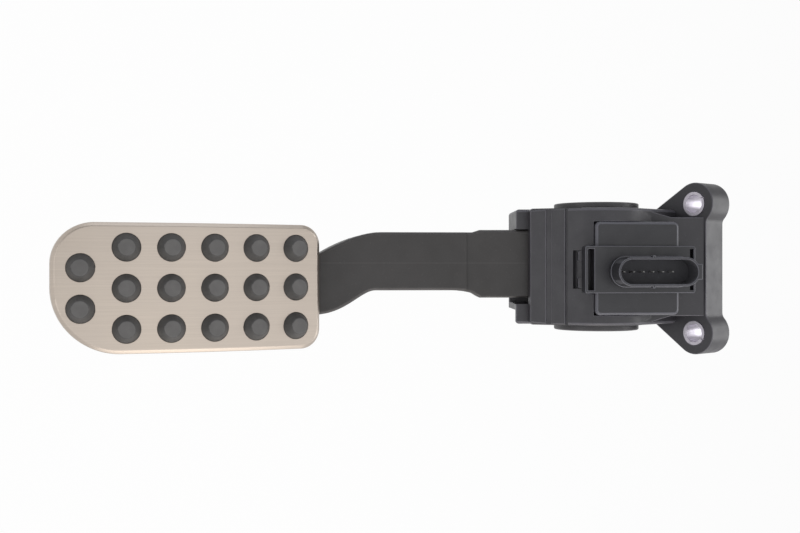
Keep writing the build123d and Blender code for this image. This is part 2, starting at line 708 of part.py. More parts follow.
def lever_side(front_inset, back_drop):
    """Side view of the lever."""
    return polygon([
        (LEVER_START, lever_front(LEVER_START) - front_inset),
        (STEM_END, lever_front(STEM_END) - front_inset),
        (STEM_END, keel_level(STEM_END) - back_drop),
        (BEND_END, keel_level(BEND_END) - back_drop),
        (LEVER_START, ARM_BACK - back_drop),
    ])


def hub_section_side(front_inset, back_drop, start):
    """Side view of the wide section, which ends inside the lever."""
    end = LEVER_START + LEVER_LAP
    return polygon([
        (start, ARM_FRONT - front_inset),
        (end, ARM_FRONT - front_inset),
        (end, ARM_BACK - back_drop + 2 * ARM_STEP),
        (LEVER_START - LEVER_LAP, ARM_BACK - back_drop),
        (start, ARM_BACK - back_drop),
    ])


def plan_prism(plan):
    return extrude(plan, 2 * PAD_LENGTH, both=True)


def drafted_prism():
    """Prism of the arm's outline, whose left wall leans out behind the bend."""
    top = BEND_FRONT + ARM_RIB_PITCH
    bottom = -HOUSING_WIDTH
    front = Pos(0, 0, top) * arm_plan(0, (BEND_FRONT - top) * BEND_DRAFT)
    back = Pos(0, 0, bottom) * arm_plan(0, (BEND_FRONT - bottom) * BEND_DRAFT)
    return loft([back, front], ruled=True)


def front_rim(part):
    """Long edges of the flat front face."""
    front = part.faces().sort_by(Axis.Z)[-1]
    return front.edges().filter_by(lambda edge: abs((edge % 0.5).X) > abs((edge % 0.5).Y))


def arm_stem():
    wide = 2 * HOUSING_WIDTH
    solid = drafted_prism()
    hub_section = solid & side_prism(hub_section_side(0, 0, 0), wide)
    hub_section = chamfer(front_rim(hub_section), ARM_EDGE)
    lever = solid & side_prism(lever_side(0, 0), wide)
    lever = chamfer(front_rim(lever), ARM_EDGE)
    start = HUB_RADIUS + ARM_WALL
    hollow_side = side_prism(hub_section_side(ARM_WALL, wide, start), wide)
    hollow_side += side_prism(lever_side(ARM_WALL, wide), wide)
    hollow = plan_prism(arm_plan(ARM_WALL)) & hollow_side
    rib_count = int((STEM_END - start) / ARM_RIB_PITCH)
    for index in range(rib_count):
        place = Pos(start + (index + 0.5) * ARM_RIB_PITCH, ARM_MID_OFFSET, 0)
        for turn in (-45, 45):
            hollow -= place * Rot(0, 0, turn) * Box(ARM_RIB, 2 * wide, 2 * wide)
    return hub_section + lever - hollow


# Pad, in the pad's frame
def pad_outline(inset):
    """Outline of the pad with its four corner radii, drawn in by an inset."""
    outline = Rectangle(PAD_LENGTH - 2 * inset, PAD_WIDTH - 2 * inset)
    corners = [
        (PAD_LENGTH, -PAD_WIDTH, PAD_LOWER_LEFT_CORNER),
        (PAD_LENGTH, PAD_WIDTH, PAD_LOWER_RIGHT_CORNER),
        (-PAD_LENGTH, -PAD_WIDTH, PAD_UPPER_CORNER),
        (-PAD_LENGTH, PAD_WIDTH, PAD_UPPER_CORNER),
    ]
    for x, y, radius in corners:
        corner = outline.vertices().sort_by_distance((x, y, 0))[0]
        outline = fillet(corner, radius - inset)
    return outline


def pad_cylinder(depth):
    """Cylinder whose skin lies at a depth under the pad's face."""
    return Pos(0, 0, -PAD_CURVE_RADIUS) * across_cylinder(PAD_CURVE_RADIUS - depth, 2 * PAD_WIDTH)


def pad_block(inset, top, bottom):
    """Piece of the pad between two depths under its curved face."""
    column = extrude(pad_outline(inset), PAD_WIDTH, both=True)
    return (column & pad_cylinder(top)) - pad_cylinder(bottom)


def broken_edge(block, length):
    """Block with the rim of its curved face broken by a flat."""
    return chamfer(block.faces().sort_by(Axis.Z)[-1].edges(), length)


def stud_places():
    """Frames of the studs on the pad's face: one pair at the lower end, then rows of three."""
    places = []
    for column in range(STUD_COLUMNS):
        along = PAD_LENGTH / 2 - STUD_END_MARGIN - column * STUD_COLUMN_PITCH
        rows = (-0.5, 0.5) if column == 0 else (-1, 0, 1)
        turn = degrees(along / PAD_CURVE_RADIUS)
        arc = Pos(0, 0, -PAD_CURVE_RADIUS) * Rot(0, turn, 0) * Pos(0, 0, PAD_CURVE_RADIUS)
        places += [arc * Pos(0, row * STUD_ROW_PITCH, 0) for row in rows]
    return places


def make_pad_plate():
    inner_edge = PAD_EDGE - SHEET_THICKNESS * (2 - sqrt(2))
    outer = broken_edge(pad_block(0, 0, PAD_RIM_DEPTH), PAD_EDGE)
    inner = pad_block(SHEET_THICKNESS, SHEET_THICKNESS, 2 * PAD_RIM_DEPTH)
    plate = outer - broken_edge(inner, inner_edge)
    for place in stud_places():
        plate -= place * Cylinder(STUD_HOLE_RADIUS, PAD_RIM_DEPTH)
    return plate


def stud():
    """Tapered stud of many flats, with its root inside the mat."""
    base_radius = STUD_HOLE_RADIUS - FIT_GAP
    outline = RegularPolygon(base_radius, STUD_SIDES)
    narrowing = (base_radius - STUD_TOP_RADIUS) * cos(pi / STUD_SIDES)
    taper = degrees(atan(narrowing / STUD_HEIGHT))
    root = SHEET_THICKNESS + FIT_GAP + MAT_THICKNESS / 2
    return extrude(outline, -root) + extrude(outline, STUD_HEIGHT, taper=taper)


def make_pad_rubber():
    mat_top = SHEET_THICKNESS + FIT_GAP
    mat = pad_block(SHEET_THICKNESS + PAD_EDGE, mat_top, mat_top + MAT_THICKNESS)
    for place in stud_places():
        mat += place * stud()
    return mat


def foot_depth():
    """Depth of the foot's front face under the pad's face."""
    return SHEET_THICKNESS + MAT_THICKNESS + 2 * FIT_GAP


def arm_foot():
    """Curved plate inside the rim of the pad, with a hollow keel that tapers from the stem."""
    foot = pad_block(SHEET_THICKNESS + FOOT_INSET, foot_depth(), PAD_RIM_DEPTH + FOOT_PROUD)
    keel = keel_body(0) - keel_body(ARM_WALL)
    keel_top = PAD_RIM_DEPTH + CONTACT_GAP
    return PAD * foot + (keel & PAD * pad_cylinder(keel_top))


def keel_level(out):
    """Level of the keel's back edge, which runs on from the lever's back."""
    pad_end = PAD_MIDDLE_UP + (KEEL_END - PAD_MIDDLE_OUT) * tan(radians(PAD_SLOPE))
    rise = (pad_end - KEEL_DEPTH - BEND_BACK) / (KEEL_END - BEND_END)
    return BEND_BACK + (out - BEND_END) * rise


def keel_body(inset):
    start = BEND_END + inset
    end = KEEL_END - inset
    half = KEEL_WIDTH / 2 - inset
    half_end = KEEL_END_WIDTH / 2 - inset
    plan = polygon([
        (start, BEND_OFFSET - half),
        (end, PAD_OFFSET - half_end),
        (end, PAD_OFFSET + half_end),
        (start, BEND_OFFSET + half),
    ])
    drop = 0 if inset == 0 else HOUSING_WIDTH
    side = polygon([
        (start, keel_level(start) - drop),
        (end, keel_level(end) - drop),
        (end, keel_level(end) + 2 * KEEL_DEPTH),
        (start, keel_level(start) + 2 * KEEL_DEPTH),
    ])
    return plan_prism(plan) & side_prism(side, 2 * HOUSING_WIDTH)


def make_pedal_arm():
    arm = across_cylinder(HUB_RADIUS, HUB_WIDTH) + arm_stem() + arm_foot()
    arm -= across_cylinder(SHAFT_RADIUS + FIT_GAP, 2 * HUB_WIDTH)
    arm -= Pos(0, 0, HUB_RADIUS) * Cylinder(MAGNET_RADIUS + FIT_GAP, 2 * MAGNET_DEPTH)
    tang_depth = TANG_DEPTH + CONTACT_GAP
    for side in (-1, 1):
        hole = across_cylinder(SPRING_WIRE_RADIUS + FIT_GAP, 2 * tang_depth)
        arm -= Pos(-SPRING_RADIUS, side * HUB_WIDTH / 2, 0) * hole
    return arm


def make_sensor_magnet():
    bottom = (Align.CENTER, Align.CENTER, Align.MIN)
    return Pos(0, 0, HUB_RADIUS - MAGNET_DEPTH) * Cylinder(MAGNET_RADIUS, MAGNET_THICKNESS, align=bottom)


def make_nodes():
    cap = make_pivot_cap()
    bearing = make_bearing_bush()
    spring = make_return_spring()
    mount_bush = make_mount_bush()
    return {
        "housing": make_housing(),
        "sensor_cover": PEDAL * COVER * make_sensor_cover(),
        "terminal_pins": PEDAL * COVER * make_terminal_pins(),
        "sensor_board": PEDAL * COVER * make_sensor_board(),
        "right_pivot_cap": PEDAL * cap,
        "left_pivot_cap": PEDAL * other_side(cap),
        "right_bearing_bush": PEDAL * bearing,
        "left_bearing_bush": PEDAL * other_side(bearing),
        "right_return_spring": PEDAL * spring,
        "left_return_spring": PEDAL * other_side(spring),
        "right_mount_bush": mount_bush,
        "left_mount_bush": mirror(mount_bush, about=Plane.YZ),
        "friction_shoe": make_friction_shoe(),
        "friction_spring": make_friction_spring(),
        "idle_stop_pad": PEDAL * idle_stop_place() * stop_pad(),
        "full_stop_pad": PEDAL * full_stop_place() * stop_pad(),
        "pedal_arm": PEDAL * make_pedal_arm(),
        "pivot_shaft": PEDAL * make_pivot_shaft(),
        "sensor_magnet": PEDAL * make_sensor_magnet(),
        "pad_plate": PEDAL * PAD * make_pad_plate(),
        "pad_rubber": PEDAL * PAD * make_pad_rubber(),
    }


os.makedirs("parts", exist_ok=True)
for name, part in make_nodes().items():
    export_step(part, f"parts/{name}.step")
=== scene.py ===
import json
import math

import bmesh
import bpy
from mathutils import Matrix, Vector
from mathutils.bvhtree import BVHTree
from mathutils.geometry import intersect_point_line


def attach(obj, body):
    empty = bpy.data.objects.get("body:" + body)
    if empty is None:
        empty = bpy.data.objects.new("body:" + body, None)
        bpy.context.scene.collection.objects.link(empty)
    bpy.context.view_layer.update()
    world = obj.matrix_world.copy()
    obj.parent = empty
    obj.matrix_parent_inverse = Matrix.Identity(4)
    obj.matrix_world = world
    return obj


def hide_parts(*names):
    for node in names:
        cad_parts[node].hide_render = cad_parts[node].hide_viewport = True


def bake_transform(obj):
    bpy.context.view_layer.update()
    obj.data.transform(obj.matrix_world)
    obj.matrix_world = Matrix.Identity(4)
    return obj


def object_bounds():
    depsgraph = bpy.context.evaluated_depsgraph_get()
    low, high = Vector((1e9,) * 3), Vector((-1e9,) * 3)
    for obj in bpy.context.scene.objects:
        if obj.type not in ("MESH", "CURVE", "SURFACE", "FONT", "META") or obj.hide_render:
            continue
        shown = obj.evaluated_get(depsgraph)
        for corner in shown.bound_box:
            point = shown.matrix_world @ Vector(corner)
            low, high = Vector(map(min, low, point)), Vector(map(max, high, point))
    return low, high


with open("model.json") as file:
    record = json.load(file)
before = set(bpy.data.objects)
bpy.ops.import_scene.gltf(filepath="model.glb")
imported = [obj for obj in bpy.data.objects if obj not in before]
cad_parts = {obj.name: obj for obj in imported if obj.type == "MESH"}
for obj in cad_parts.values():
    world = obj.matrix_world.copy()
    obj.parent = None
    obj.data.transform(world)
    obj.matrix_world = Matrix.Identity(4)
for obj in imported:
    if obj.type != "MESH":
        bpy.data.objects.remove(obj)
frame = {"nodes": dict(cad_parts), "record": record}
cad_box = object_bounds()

# Accelerator pedal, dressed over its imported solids. Lengths are in metres.
# +X is the driver's right, +Y points forward into the bulkhead and +Z is up.

MM = 0.001
WHITE = (1.0, 1.0, 1.0)
BLACK = (0.0, 0.0, 0.0)

# Camera, solved from the photograph: it looks square at the pedal arm, with the pad on the left
ARM_LEAN = math.radians(48.0)
CAMERA_PLACE = Vector((-0.9, -452.5, 285.1)) * MM
FOCAL_PIXELS = 1100.0
FRAME_PIXELS = 800.0
SENSOR_WIDTH_MM = 36.0
NEAREST_SEEN = 10 * MM

# Floor, low enough to leave room for views from below
FLOOR_DROP = 0.65
FLOOR_SIZE = 8.0
FLOOR_COLOUR = (0.93, 0.93, 0.93, 1.0)
FLOOR_GLOW_SHARE = 0.95

# The sky brightens along X, and so does the white that stands in for it in reflections
SKY_SPAN = (-0.8, 0.8)
SKY_LEFT = 0.16
SKY_RIGHT = 0.78
MIRROR_SPAN = (-0.8, 0.3)
MIRROR_LEFT = 0.45
MIRROR_RIGHT = 1.0

# Soft boxes: place, side, brightness and colour
LAMP_AIM = Vector((0.0, -0.13, -0.06))
LAMPS = {
    "overhead": ((0.3, -0.38, 0.88), 1.3, 0.43, WHITE),
    "left_box": ((-0.95, -0.2, 0.15), 0.9, 1.0, (0.92, 0.95, 1.0)),
    "right_box": ((0.95, -0.2, 0.15), 0.9, 1.6, (1.0, 0.94, 0.88)),
    "back_box": ((0.0, 0.9, 0.65), 0.9, 2.4, WHITE),
    "front_box": ((0.0, -1.05, 0.0), 0.6, 0.8, WHITE),
}

# Points closer than this are one, and faces turned by less than this lie in one plane
WELD_DISTANCE = 0.02 * MM
FLAT_ANGLE = math.radians(0.1)

# Edges are rounded from the first angle between their faces, and are sharp corners from the second
EDGE_ANGLE = math.radians(32.0)
FLAT_EDGE_ANGLE = math.radians(52.0)

# Widths of the rounding: at sharp corners, and at the two edges of a flat
FORMED_EDGES = {
    "housing": (0.4 * MM, 0.5 * MM),
    "sensor_cover": (0.32 * MM, 0.45 * MM),
    "right_pivot_cap": (0.6 * MM, 0.6 * MM),
    "left_pivot_cap": (0.6 * MM, 0.6 * MM),
    "pedal_arm": (0.4 * MM, 0.5 * MM),
    "pad_plate": (0.12 * MM, 0.4 * MM),
    "pad_rubber": (0.5 * MM, 0.5 * MM),
}

# How the rounding is made: by these shares of a width in turn, and with some room to spare
ROUNDING_STEPS = (1.0, 0.5, 0.25)
ROUNDING_SEGMENTS = 3
ROUND_PROFILE = 0.5
ROUNDING_SPARE = 1.05
LEAST_SINE = 1e-4

# Where a trial crosses itself, the edges within reach stay sharp in the next one
ROUNDING_TRIALS = 5
KEPT_REACH = 1.5 * MM

# The arm is open on its far side, where its ribs end in crisp edges
OPEN_SIDES = {"pedal_arm": Vector((0.0, math.cos(ARM_LEAN), -math.sin(ARM_LEAN)))}
OPEN_SIDE_SHARE = 0.9

# Shading runs on over curves, and stops at corners and between wide flats
SMOOTH_ANGLE = math.radians(34.0)
SLIGHT_ANGLE = math.radians(3.5)
WIDE_FACE = 4.5 * MM
EQUAL_FACES = 20 * MM * MM
LARGE_FACES_LEAD = 100

# Layer that marks the rounded strips of a piece, where the plastics paint highlights, or the stud tops of a
# studded one
EDGE_LAYER = "formed_edge"
PLAIN = 0
MARKED = 1
AS_BESIDE = -1
STUDDED = {"pad_rubber"}
STUD_SIDES = 12

# Inside of the connector shroud, from its middle
SOCKET_HALF_LENGTH = 17.6 * MM
SOCKET_HALF_WIDTH = 5.45 * MM
SOCKET_RIM = 0.6 * MM

# Parting line of the arm's mould, painted as a paler line: a highlight along its ridge
ARM_SEAM = -2.5 * MM
SEAM_HALF_WIDTH = 0.15 * MM
SEAM_HIGHLIGHT_GAIN = 0.55

# Where nearly all of a noise lies
NOISE_LOW = 0.3
NOISE_HIGH = 0.7


# Materials
def scaled(colour, factor):
    return tuple(channel * factor for channel in colour)


class Shader:
    """A material with one principled shader, read in the object's own coordinates."""

    def __init__(self, name):
        self.material = bpy.data.materials.new(name)
        self.material.use_nodes = True
        self.tree = self.material.node_tree
        self.surface = self.tree.nodes["Principled BSDF"]
        self.places = self.node("ShaderNodeTexCoord").outputs["Object"]

    def node(self, kind, **values):
        node = self.tree.nodes.new(kind)
        for key, value in values.items():
            setattr(node, key, value)
        return node

    def link(self, source, target):
        self.tree.links.new(source, target)

    def set(self, **values):
        for key, value in values.items():
            self.surface.inputs[key.replace("_", " ")].default_value = value

    def noise(self, scale, detail=3.0, stretch=(1.0, 1.0, 1.0), roughness=0.5):
        """Noise with its cells stretched along the object's axes."""
        mapping = self.node("ShaderNodeMapping")
        mapping.inputs["Scale"].default_value = stretch
        self.link(self.places, mapping.inputs["Vector"])
        texture = self.node("ShaderNodeTexNoise")
        texture.inputs["Scale"].default_value = scale
        texture.inputs["Detail"].default_value = detail
        texture.inputs["Roughness"].default_value = roughness
        self.link(mapping.outputs["Vector"], texture.inputs["Vector"])
        return texture.outputs["Fac"]

    def layer(self, name):
        return self.node("ShaderNodeAttribute", attribute_name=name).outputs["Fac"]

    def line(self, place, half_width):
        """1 within this distance of the plane at this X, otherwise 0."""
        split = self.node("ShaderNodeSeparateXYZ")
        self.link(self.places, split.inputs[0])
        near = self.node("ShaderNodeMath", operation="COMPARE")
        near.inputs[1].default_value = place
        near.inputs[2].default_value = half_width
        self.link(split.outputs["X"], near.inputs[0])
        return near.outputs[0]

    def ramp(self, amount, first, last):
        """Colour ramp between two (position, colour) stops."""
        ramp = self.node("ShaderNodeValToRGB")
        for element, (position, colour) in zip(ramp.color_ramp.elements, (first, last)):
            element.position = position
            element.color = (*colour, 1.0)
        self.link(amount, ramp.inputs["Fac"])
        return ramp.outputs["Color"]

    def shades(self, amount, colour, dark, pale, low=NOISE_LOW, high=NOISE_HIGH):
        """Shades of one colour, from dark to pale as a noise goes from low to high."""
        return self.ramp(amount, (low, scaled(colour, dark)), (high, scaled(colour, pale)))

    def spread(self, amount, low, high):
        """Maps a noise to a range."""
        node = self.node("ShaderNodeMapRange")
        node.inputs["From Min"].default_value = NOISE_LOW
        node.inputs["From Max"].default_value = NOISE_HIGH
        node.inputs["To Min"].default_value = low
        node.inputs["To Max"].default_value = high
        self.link(amount, node.inputs["Value"])
        return node.outputs["Result"]

    def mix(self, first, second, blend):
        node = self.node("ShaderNodeMix", data_type="RGBA", blend_type=blend)
        sockets = {socket.name: socket for socket in node.inputs if socket.enabled}
        sockets["Factor"].default_value = 1.0
        self.link(first, sockets["A"])
        self.link(second, sockets["B"])
        return next(socket for socket in node.outputs if socket.enabled)

    def marked(self, tone, mask, colour):
        """Adds a colour to a tone where the mask is 1."""
        return self.mix(tone, self.ramp(mask, (0.0, BLACK), (1.0, colour)), "ADD")

    def bump(self, height, depth, strength):
        node = self.node("ShaderNodeBump")
        node.inputs["Strength"].default_value = strength
        node.inputs["Distance"].default_value = depth
        self.link(height, node.inputs["Height"])
        return node.outputs["Normal"]

    def finish(self, colour, roughness, normal):
        self.link(colour, self.surface.inputs["Base Color"])
        self.link(roughness, self.surface.inputs["Roughness"])
        self.link(normal, self.surface.inputs["Normal"])
        return self.material


def moulded_plastic(name, colour, roughness, edge_highlight_gain, grain=2600.0, seam=None, shine=0.5):
    """Black glass-filled plastic: spark grain, flow marks, painted highlights on its rounded edges and, with
    a seam, a parting line painted paler as a highlight on its ridge.
    """
    shader = Shader(name)
    flow = shader.noise(scale=38.0, detail=4.0)
    speck = shader.noise(scale=900.0, detail=2.0)
    tone = shader.shades(flow, colour, dark=0.86, pale=1.14)
    dust = shader.shades(speck, colour, dark=0.0, pale=0.35, low=0.62, high=0.8)
    tone = shader.mix(tone, dust, "ADD")
    # Painted highlight: the rounded edge strips are made paler, as if they caught the light
    tone = shader.marked(tone, shader.layer(EDGE_LAYER), scaled(colour, edge_highlight_gain))
    # Painted highlight along the parting line of the mould
    if seam is not None:
        tone = shader.marked(tone, shader.line(seam, SEAM_HALF_WIDTH), scaled(colour, SEAM_HIGHLIGHT_GAIN))
    gloss = shader.spread(shader.noise(scale=160.0), roughness - 0.06, roughness + 0.07)
    normal = shader.bump(shader.noise(scale=grain, detail=2.0), depth=0.02 * MM, strength=0.35)
    shader.set(Specular_IOR_Level=shine, IOR=1.5)
    return shader.finish(tone, gloss, normal)


def brushed_metal(name, colour, roughness):
    """Sheet steel brushed along the pad, so its scratches are fine across X and long in Y and Z."""
    shader = Shader(name)
    fine = shader.noise(scale=1.0, stretch=(5200.0, 26.0, 26.0), roughness=0.6)
    broad = shader.noise(scale=1.0, detail=4.0, stretch=(900.0, 9.0, 9.0), roughness=0.6)
    patch = shader.noise(scale=22.0)
    tone = shader.shades(broad, colour, dark=0.97, pale=1.03, low=0.32, high=0.68)
    scratch = shader.shades(fine, WHITE, dark=0.93, pale=1.0, low=0.35, high=0.6)
    tone = shader.mix(tone, scratch, "MULTIPLY")
    cloud = shader.ramp(patch, (NOISE_LOW, (0.95, 0.95, 0.96)), (NOISE_HIGH, (1.0, 0.995, 0.985)))
    tone = shader.mix(tone, cloud, "MULTIPLY")
    gloss = shader.spread(broad, roughness - 0.02, roughness + 0.03)
    normal = shader.bump(fine, depth=0.006 * MM, strength=0.12)
    shader.set(Metallic=1.0)
    return shader.finish(tone, gloss, normal)


def moulded_rubber(name, colour, roughness, tread_gain=0.0):
    """Matt black rubber with a fine bloom, paler on the tops of its studs."""
    shader = Shader(name)
    bloom = shader.noise(scale=240.0, detail=4.0)
    patch = shader.noise(scale=45.0)
    tone = shader.shades(bloom, colour, dark=0.85, pale=1.18, high=0.72)
    tone = shader.mix(tone, shader.shades(patch, WHITE, dark=0.9, pale=1.0), "MULTIPLY")
    tone = shader.marked(tone, shader.layer(EDGE_LAYER), scaled(colour, tread_gain))
    gloss = shader.spread(patch, roughness - 0.05, roughness + 0.06)
    normal = shader.bump(shader.noise(scale=3200.0, detail=2.0), depth=0.03 * MM, strength=0.3)
    shader.set(Specular_IOR_Level=0.4)
    return shader.finish(tone, gloss, normal)


def turned_metal(name, colour, roughness, metallic=1.0):
    """Plated or ground steel with fine scratches."""
    shader = Shader(name)
    scratch = shader.noise(scale=700.0, detail=4.0, stretch=(1.0, 0.1, 1.0), roughness=0.6)
    tone = shader.shades(scratch, colour, dark=0.85, pale=1.05)
    gloss = shader.spread(shader.noise(scale=300.0), roughness - 0.06, roughness + 0.08)
    normal = shader.bump(scratch, depth=0.01 * MM, strength=0.12)
    shader.set(Metallic=metallic)
    return shader.finish(tone, gloss, normal)


def plain_compound(name, colour, roughness):
    """Filled plastics, board and magnet: mottled and grained."""
    shader = Shader(name)
    tone = shader.shades(shader.noise(scale=420.0, detail=4.0), colour, dark=0.82, pale=1.15)
    gloss = shader.spread(shader.noise(scale=150.0), roughness - 0.06, roughness + 0.06)
    normal = shader.bump(shader.noise(scale=1800.0, detail=2.0), depth=0.02 * MM, strength=0.25)
    return shader.finish(tone, gloss, normal)


BLACK_HOUSING = (0.0395, 0.0383, 0.0445)
BLACK_COVER = (0.0275, 0.0275, 0.0325)
BLACK_ARM = (0.039, 0.0365, 0.0365)
# Painted light: the pivot caps are the cover's plastic, in a paler copy that stands in for the light on
# their rims
LIT_CAP_BLACK = (0.055, 0.053, 0.057)
# Painted light: the inside of the connector shroud is the cover's plastic, in a paler copy
LIT_SOCKET_BLACK = (0.085, 0.085, 0.094)
MATERIALS = {
    "housing_plastic": moulded_plastic("housing_plastic", BLACK_HOUSING, 0.44, edge_highlight_gain=1.7),
    "cover_plastic": moulded_plastic("cover_plastic", BLACK_COVER, 0.42, edge_highlight_gain=3.4),
    "socket_plastic_lit": moulded_plastic("socket_plastic_lit", LIT_SOCKET_BLACK, 0.65, edge_highlight_gain=0.5, shine=0.3),
    "cap_plastic_lit": moulded_plastic("cap_plastic_lit", LIT_CAP_BLACK, 0.42, edge_highlight_gain=0.5),
    "arm_plastic": moulded_plastic(
        "arm_plastic", BLACK_ARM, 0.46, edge_highlight_gain=0.5, grain=2000.0, seam=ARM_SEAM,
    ),
    "pad_metal": brushed_metal("pad_metal", (0.5, 0.44, 0.385), 0.36),
    "pad_rubber": moulded_rubber("pad_rubber", (0.085, 0.083, 0.082), 0.62, tread_gain=0.7),
    "stop_rubber": moulded_rubber("stop_rubber", (0.05, 0.05, 0.05), 0.65),
    "bush_steel": turned_metal("bush_steel", (0.53, 0.505, 0.56), 0.42),
    "pin_metal": turned_metal("pin_metal", (0.3, 0.3, 0.295), 0.5, metallic=0.3),
    "spring_steel": turned_metal("spring_steel", (0.42, 0.43, 0.44), 0.34),
    "shaft_steel": turned_metal("shaft_steel", (0.56, 0.56, 0.57), 0.25),
    "bearing_plastic": plain_compound("bearing_plastic", (0.72, 0.7, 0.64), 0.5),
    "friction_plastic": plain_compound("friction_plastic", (0.28, 0.24, 0.18), 0.55),
    "circuit_board": plain_compound("circuit_board", (0.04, 0.17, 0.08), 0.4),
    "magnet": plain_compound("magnet", (0.17, 0.17, 0.18), 0.45),
}
SLOTS = {part["node"]: part["material_slot"] for part in frame["record"]["subparts"]}
BODIES = {node: body for body, nodes in frame["record"]["behaviour"]["bodies"].items() for node in nodes}
# The pivot caps wear the paler copy of the cover's plastic, painted lighter
LOOKS = SLOTS | {"right_pivot_cap": "cap_plastic_lit", "left_pivot_cap": "cap_plastic_lit"}


def dress(piece, look):
    piece.data.materials.clear()
    piece.data.materials.append(MATERIALS[look])


def copy_of(node, suffix):
    """Copy of a node's object, dressed in the node's look. All nodes have the frame's own origin."""
    copy = bpy.data.objects.new(node + suffix, frame["nodes"][node].data.copy())
    bpy.context.scene.collection.objects.link(copy)
    dress(copy, LOOKS[node])
    return copy


# Formed skins: a solid's own form with its edges rounded as the mould or the press leaves them
def on_open_side(edge, open_side):
    if open_side is None:
        return False
    return any(face.normal.dot(open_side) > OPEN_SIDE_SHARE for face in edge.link_faces)


def wanted_width(edge, sharp, flat, open_side):
    """How far an edge is rounded: one width beside a flat, another at a sharp corner, and 0 where smooth."""
    if len(edge.link_faces) != 2 or not edge.is_convex or on_open_side(edge, open_side):
        return 0.0
    angle = edge.calc_face_angle()
    if angle < EDGE_ANGLE or all(face.material_index for face in edge.link_faces):
        return 0.0
    return flat if angle < FLAT_EDGE_ANGLE else sharp


def direction(edge):
    return (edge.verts[1].co - edge.verts[0].co).normalized()


def merge_flats(work):
    """Joins the faces that lie in one plane, first across the edges that meet a corner at a slight angle."""
    folds = {edge: edge.calc_face_angle() for edge in work.edges if len(edge.link_faces) == 2}
    corners = {edge for edge, angle in folds.items() if angle > FLAT_ANGLE}

    def least_sine(edge):
        beside = {other for vert in edge.verts for other in vert.link_edges if other in corners}
        return min((direction(edge).cross(direction(other)).length for other in beside), default=1.0)

    flats = sorted((edge for edge in folds if edge not in corners), key=least_sine)
    for edge in flats:
        if not edge.is_valid or len(edge.link_faces) != 2:
            continue
        first, second = edge.link_faces
        shared_edges = set(first.edges) & set(second.edges)
        shared_verts = set(first.verts) & set(second.verts)
        if len(shared_verts) == len(shared_edges) + 1:
            bmesh.utils.face_join((first, second))


def room_at(edge, loop, chosen):
    """The rounding at which one side of an edge closes up or runs off the end of an edge beside it."""
    before = loop.link_loop_prev.edge
    after = loop.link_loop_next.edge
    first = loop.calc_angle()
    second = loop.link_loop_next.calc_angle()
    first_sine = max(math.sin(first), LEAST_SINE)
    second_sine = max(math.sin(second), LEAST_SINE)
    room = math.inf
    if (before in chosen) + (edge in chosen) + (after in chosen) >= 2:
        closing = (before in chosen) / first_sine + (after in chosen) / second_sine
        if edge in chosen:
            closing += math.cos(first) / first_sine + math.cos(second) / second_sine
        if closing > 0.0:
            room = edge.calc_length() / closing
    if edge in chosen and before not in chosen:
        room = min(room, before.calc_length() * first_sine)
    if edge in chosen and after not in chosen:
        room = min(room, after.calc_length() * second_sine)
    return room


def roundable(edges, width):
    """Those of the edges that can be rounded together by a width without running into each other."""
    chosen = set(edges)
    crowded = chosen
    while crowded:
        crowded = set()
        near = {other for edge in chosen for vert in edge.verts for other in vert.link_edges}
        for edge in near:
            for loop in edge.link_loops:
                if room_at(edge, loop, chosen) < width * ROUNDING_SPARE:
                    beside = {loop.link_loop_prev.edge, loop.link_loop_next.edge}
                    crowded |= {edge} if edge in chosen else beside & chosen
        chosen -= crowded
    return chosen


def crossings(work):
    """The places where a mesh runs through itself."""
    trial = work.copy()
    bmesh.ops.triangulate(trial, faces=trial.faces)
    trial.faces.ensure_lookup_table()
    tree = BVHTree.FromBMesh(trial)
    met = [(first, second) for first, second in tree.overlap(tree) if first < second]
    pairs = [(trial.faces[first], trial.faces[second]) for first, second in met]
    apart = [(one, two) for one, two in pairs if not set(one.verts) & set(two.verts)]
    places = [face.calc_center_median() for pair in apart for face in pair]
    trial.free()
    return places


def close_to(edge, places):
    """Whether one of the places is within reach of an edge."""
    start, end = (vert.co for vert in edge.verts)
    for place in places:
        share = intersect_point_line(place, start, end)[1]
        nearest = start.lerp(end, min(max(share, 0.0), 1.0))
        if (nearest - place).length < KEPT_REACH:
            return True
    return False


def round_edges(work, node, sharp, flat, kept):
    """Rounds each edge by its width, or by a part of it where its neighbours leave less room.

    The edges close to the kept places stay as they are.
    """
    strip = AS_BESIDE if node in STUDDED else MARKED
    open_side = OPEN_SIDES.get(node)
    for step in ROUNDING_STEPS:
        for width in sorted({sharp, flat}, reverse=True):
            work.normal_update()
            edges = [edge for edge in work.edges if wanted_width(edge, sharp, flat, open_side) == width]
            edges = [edge for edge in edges if not close_to(edge, kept)]
            chosen = roundable(edges, width * step)
            ordered = [edge for edge in edges if edge in chosen]
            if ordered:
                bmesh.ops.bevel(
                    work, geom=ordered, offset=width * step, offset_type="OFFSET", profile=ROUND_PROFILE,
                    segments=ROUNDING_SEGMENTS, affect="EDGES", clamp_overlap=True, material=strip,
                )
    work.normal_update()


def rounded(start, node, sharp, flat):
    """Rounded copy of a mesh, in which the edges stay sharp where a rounding would cross another."""
    kept = []
    for _ in range(ROUNDING_TRIALS):
        work = start.copy()
        round_edges(work, node, sharp, flat, kept)
        found = crossings(work)
        if not found:
            break
        kept += found
    return work


def face_width(face):
    return face.calc_area() / max(edge.calc_length() for edge in face.edges)


def shades_on(edge):
    """Whether shading runs on across an edge, as on a curve, and not over a corner or between wide flats."""
    if len(edge.link_faces) != 2:
        return False
    angle = edge.calc_face_angle()
    if min(face_width(face) for face in edge.link_faces) > WIDE_FACE:
        return angle < SLIGHT_ANGLE
    return angle < SMOOTH_ANGLE


def is_stud_top(face):
    return len(face.edges) > STUD_SIDES and all(edge.is_convex for edge in face.edges)


